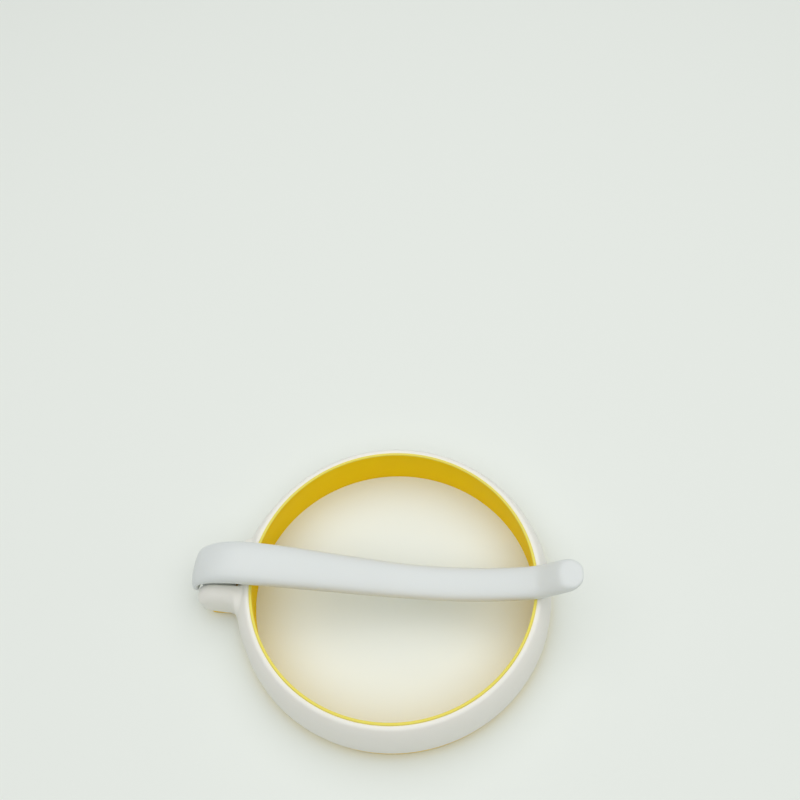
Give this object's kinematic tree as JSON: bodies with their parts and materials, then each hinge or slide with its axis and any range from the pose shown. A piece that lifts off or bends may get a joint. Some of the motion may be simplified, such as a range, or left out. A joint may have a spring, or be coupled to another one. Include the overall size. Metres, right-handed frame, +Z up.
{
  "type": "egg ring",
  "caption": "Round egg ring with a silicone liner and gasket in a moulded shell, and a curved handle that folds across it on a pin between the shell's ears.",
  "frame": {"origin": "middle of the folded part's length and width, on the surface that the ring stands on", "axes": "+X from the hinge towards the handle's free end, +Y along the hinge pin, +Z up; the ring's own axis is vertical and stands 3.44 mm on the +X side of the origin"},
  "size_m": [0.1242, 0.103, 0.0271],
  "materials": {
    "outer_ring": "moulded heat-resistant nylon, warm white, satin",
    "silicone_liner": "moulded silicone rubber, yellow, matte",
    "handle": "moulded heat-resistant nylon, pale cool grey, satin",
    "hinge_pin": "drawn stainless steel rod"
  },
  "bodies": {
    "ring": {"outer_ring": "outer_ring", "silicone_liner": "silicone_liner", "hinge_pin": "hinge_pin"},
    "handle": {"handle": "handle"}
  },
  "joints": [
    {"name": "handle_fold", "type": "hinge", "parent": "ring", "child": "handle", "pos_m": [-0.05356, 0, 0.0089], "axis": [0, -1, 0], "range_deg": [0, 65]}
  ]
}
